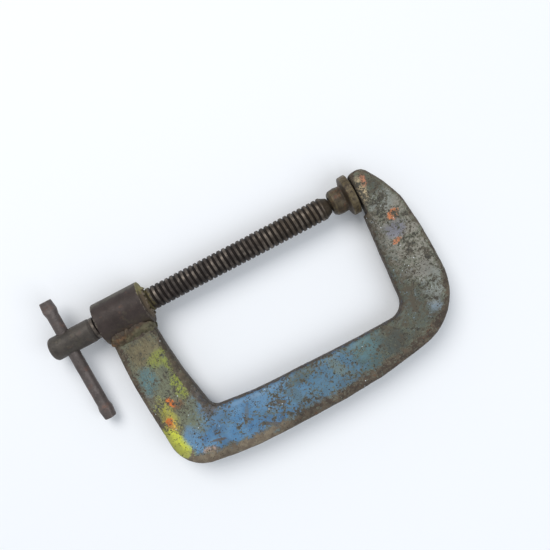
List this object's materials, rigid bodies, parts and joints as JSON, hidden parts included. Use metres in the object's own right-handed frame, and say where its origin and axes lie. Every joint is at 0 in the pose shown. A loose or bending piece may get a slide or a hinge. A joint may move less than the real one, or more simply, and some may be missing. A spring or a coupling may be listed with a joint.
{
  "type": "c clamp",
  "caption": "Heavy C clamp with a forged frame, a screw in a welded boss, a sliding tommy bar and a swivel pad on the screw's ball tip.",
  "frame": {"origin": "centre of the anvil face, on the screw's axis", "axes": "+X along the screw, from its head to the anvil; +Y out of the open side, away from the spine; +Z normal to the frame's flat"},
  "size_m": [0.3468, 0.2035, 0.0406],
  "materials": {
    "frame_paint": "old blue paint, chipped and splashed",
    "boss_steel": "bare steel, dark brown patina",
    "weld_steel": "lumpy weld bead, rusty",
    "screw_steel": "dark oiled steel, crests worn bright",
    "bar_steel": "dark brown patina",
    "pad_steel": "dark olive-brown patina"
  },
  "bodies": {
    "frame": {"frame": "frame_paint", "screw_boss": "boss_steel", "weld_top": "weld_steel", "weld_bottom": "weld_steel", "weld_outer": "weld_steel", "weld_inner": "weld_steel"},
    "pad": {"swivel_pad": "pad_steel"},
    "screw": {"screw": "screw_steel"},
    "tommy_bar": {"tommy_bar": "bar_steel"}
  },
  "joints": [
    {"name": "pad_travel", "type": "slide", "parent": "frame", "child": "pad", "axis": [1, 0, 0], "range_m": [-0.1825, 0.0024]},
    {"name": "screw_turn", "type": "hinge", "parent": "pad", "child": "screw", "pos_m": [-0.016, 0, 0], "axis": [1, 0, 0], "range_deg": [-13687, 180]},
    {"name": "bar_slide", "type": "slide", "parent": "screw", "child": "tommy_bar", "axis": [0, 0.9914, 0.1305], "range_m": [-0.0185, 0.0545]}
  ],
  "couplings": [
    {"joint": "pad_travel", "follows": "screw_turn", "m_per_rad": 0.00076394}
  ]
}
